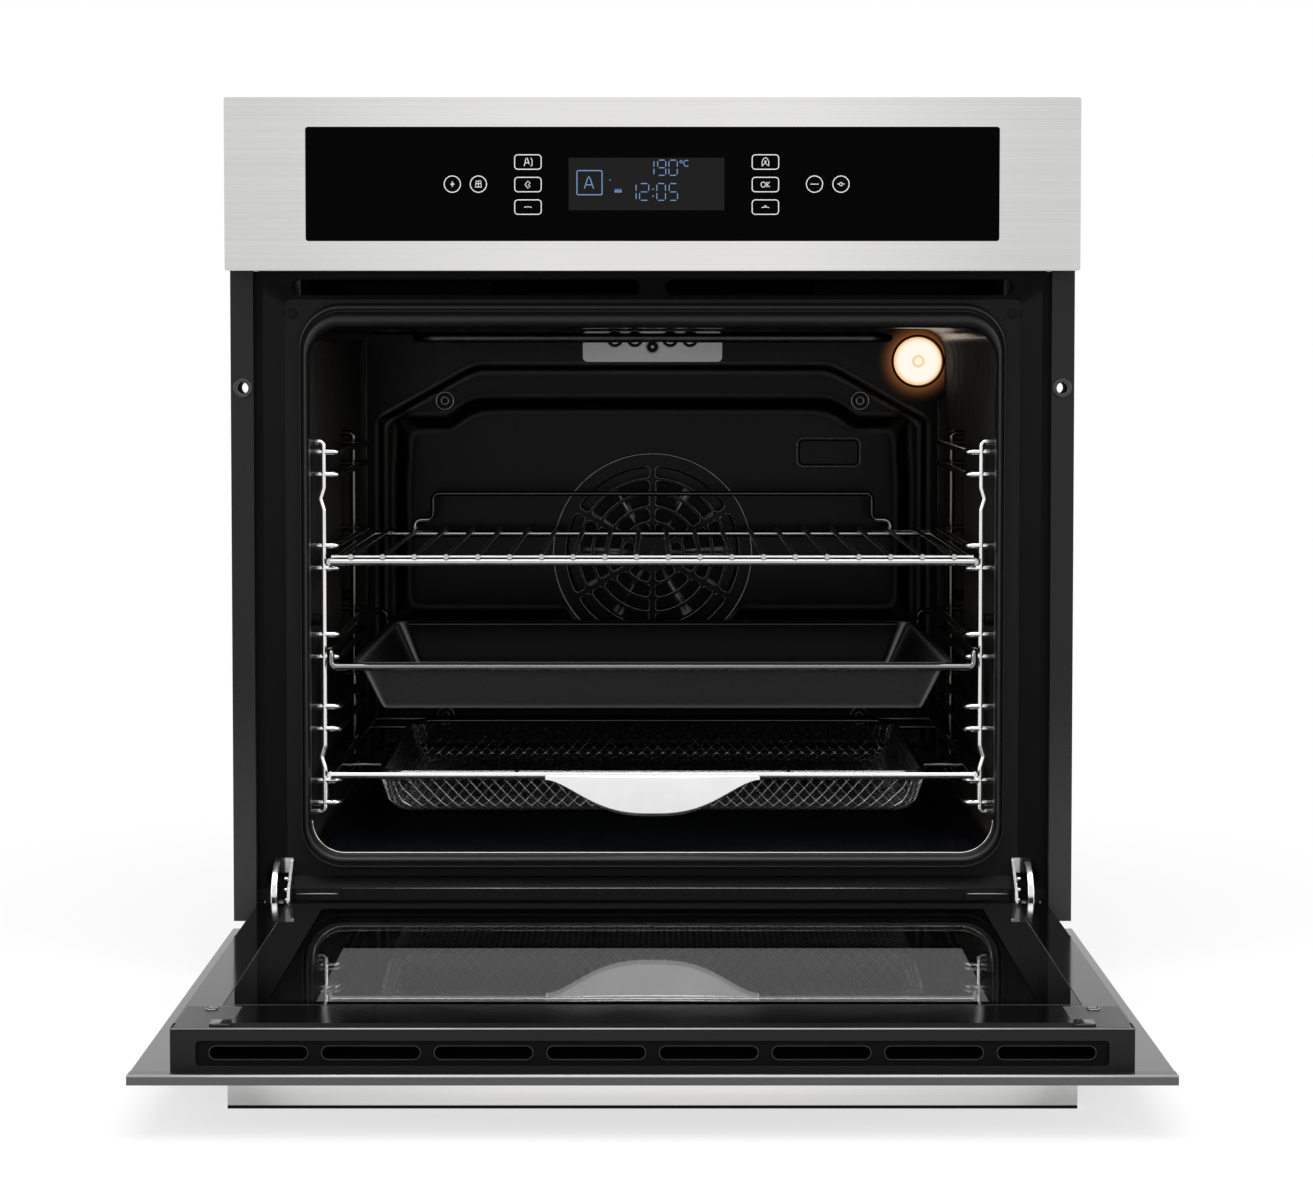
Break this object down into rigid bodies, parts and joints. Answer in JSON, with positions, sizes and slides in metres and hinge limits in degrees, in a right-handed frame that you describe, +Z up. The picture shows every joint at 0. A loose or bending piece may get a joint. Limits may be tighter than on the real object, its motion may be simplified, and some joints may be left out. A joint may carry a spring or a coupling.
{
  "type": "wall oven",
  "caption": "Built-in electric wall oven with a drop-down glass door, touch control panel, side racks, wire shelf, deep pan, net basket and convection fan.",
  "frame": {"origin": "on the centre plane, on the underside of the base, below the front face of the cabinet flanges", "axes": "+X to the viewer's right, +Y into the oven, +Z up"},
  "size_m": [0.595, 1.0275, 0.621],
  "materials": {
    "steel_brushed": "fine horizontal brushing",
    "panel_glass": "black, polished",
    "door_glass_outer": "dark, polished",
    "door_glass_inner": "clear, polished",
    "door_glass_middle": "clear, polished",
    "flange_black": "satin black",
    "frame_black": "satin black",
    "front_enamel": "glossy enamel",
    "cavity_enamel": "glossy enamel",
    "cover_enamel": "glossy enamel",
    "pan_enamel": "glossy enamel",
    "gasket_rubber": "matt",
    "wire_chrome": "bright",
    "net_steel": "bright",
    "plate_steel": "smooth",
    "bracket_chrome": "bright",
    "screw_steel": "zinc",
    "bush_plastic": "satin",
    "heater_dark": "oxidised steel tube",
    "fan_steel": "pressed steel",
    "galvanised": "galvanised sheet",
    "wool": "mineral wool",
    "motor_grey": "plain",
    "rotor_plastic": "matt",
    "lamp_ceramic": "matt",
    "lamp_glass": "frosted",
    "bulb_glow": "lit",
    "door_black": "satin black",
    "vent_black": "satin black",
    "clip_plastic": "satin black",
    "arm_steel": "zinc",
    "display_black": "gloss",
    "board_green": "lacquered",
    "terminal_plastic": "matt"
  },
  "bodies": {
    "oven": {"control_fascia": "steel_brushed", "control_pane": "panel_glass", "flange_left": "flange_black", "flange_right": "flange_black", "front_frame": "frame_black", "cavity_front_plate": "front_enamel", "cavity_liner": "cavity_enamel", "fan_cover": "cover_enamel", "door_gasket": "gasket_rubber", "rack_left": "wire_chrome", "rack_right": "wire_chrome", "hinge_bracket_left": "bracket_chrome", "hinge_bracket_right": "bracket_chrome", "hinge_strips": "bracket_chrome", "round_head_screws": "screw_steel", "cover_screws": "screw_steel", "rack_studs": "screw_steel", "terminal_plate": "screw_steel", "screw_bushes": "bush_plastic", "grill_heater": "heater_dark", "lower_heater": "heater_dark", "ring_heater": "heater_dark", "base_tray": "galvanised", "side_panel_left": "galvanised", "side_panel_right": "galvanised", "rear_panel": "galvanised", "top_cover": "galvanised", "crossbar": "galvanised", "air_duct": "galvanised", "blower_housing": "galvanised", "insulation": "wool", "fan_motor": "motor_grey", "blower_motor": "motor_grey", "lamp_housing": "lamp_ceramic", "lamp_lens": "lamp_glass", "lamp_bulb": "bulb_glow", "display_module": "display_black", "control_board": "board_green", "terminal_box": "terminal_plastic"},
    "door": {"door_outer_glass": "door_glass_outer", "door_edge_trim": "steel_brushed", "door_frame": "door_black", "door_vent_trim": "vent_black", "door_clips": "clip_plastic", "door_inner_pane": "door_glass_inner", "door_middle_pane": "door_glass_middle", "hinge_arm_left": "arm_steel", "hinge_arm_right": "arm_steel", "handle_bar": "steel_brushed", "handle_posts": "arm_steel", "handle_screws": "screw_steel"},
    "shelf": {"wire_shelf": "wire_chrome"},
    "pan": {"deep_pan": "pan_enamel", "pan_carrier": "wire_chrome"},
    "basket": {"basket_net": "net_steel", "basket_frame": "wire_chrome", "basket_handle": "plate_steel"},
    "convection_fan": {"fan_impeller": "fan_steel", "fan_shaft": "fan_steel"},
    "cooling_fan": {"cooling_rotor": "rotor_plastic"}
  },
  "joints": [
    {"name": "door_hinge", "type": "hinge", "parent": "oven", "child": "door", "pos_m": [0, -0.006, 0.023], "axis": [-1, 0, 0], "range_deg": [0, 90]},
    {"name": "shelf_slide", "type": "slide", "parent": "oven", "child": "shelf", "axis": [0, 1, 0], "range_m": [-0.2, 0]},
    {"name": "pan_slide", "type": "slide", "parent": "oven", "child": "pan", "axis": [0, 1, 0], "range_m": [-0.2, 0]},
    {"name": "basket_slide", "type": "slide", "parent": "oven", "child": "basket", "axis": [0, 1, 0], "range_m": [-0.2, 0]},
    {"name": "convection_fan_spin", "type": "hinge", "parent": "oven", "child": "convection_fan", "pos_m": [0, 0.42, 0.25], "axis": [0, 1, 0], "continuous": true},
    {"name": "cooling_fan_spin", "type": "hinge", "parent": "oven", "child": "cooling_fan", "pos_m": [0, 0.348, 0.496], "axis": [1, 0, 0], "continuous": true}
  ]
}
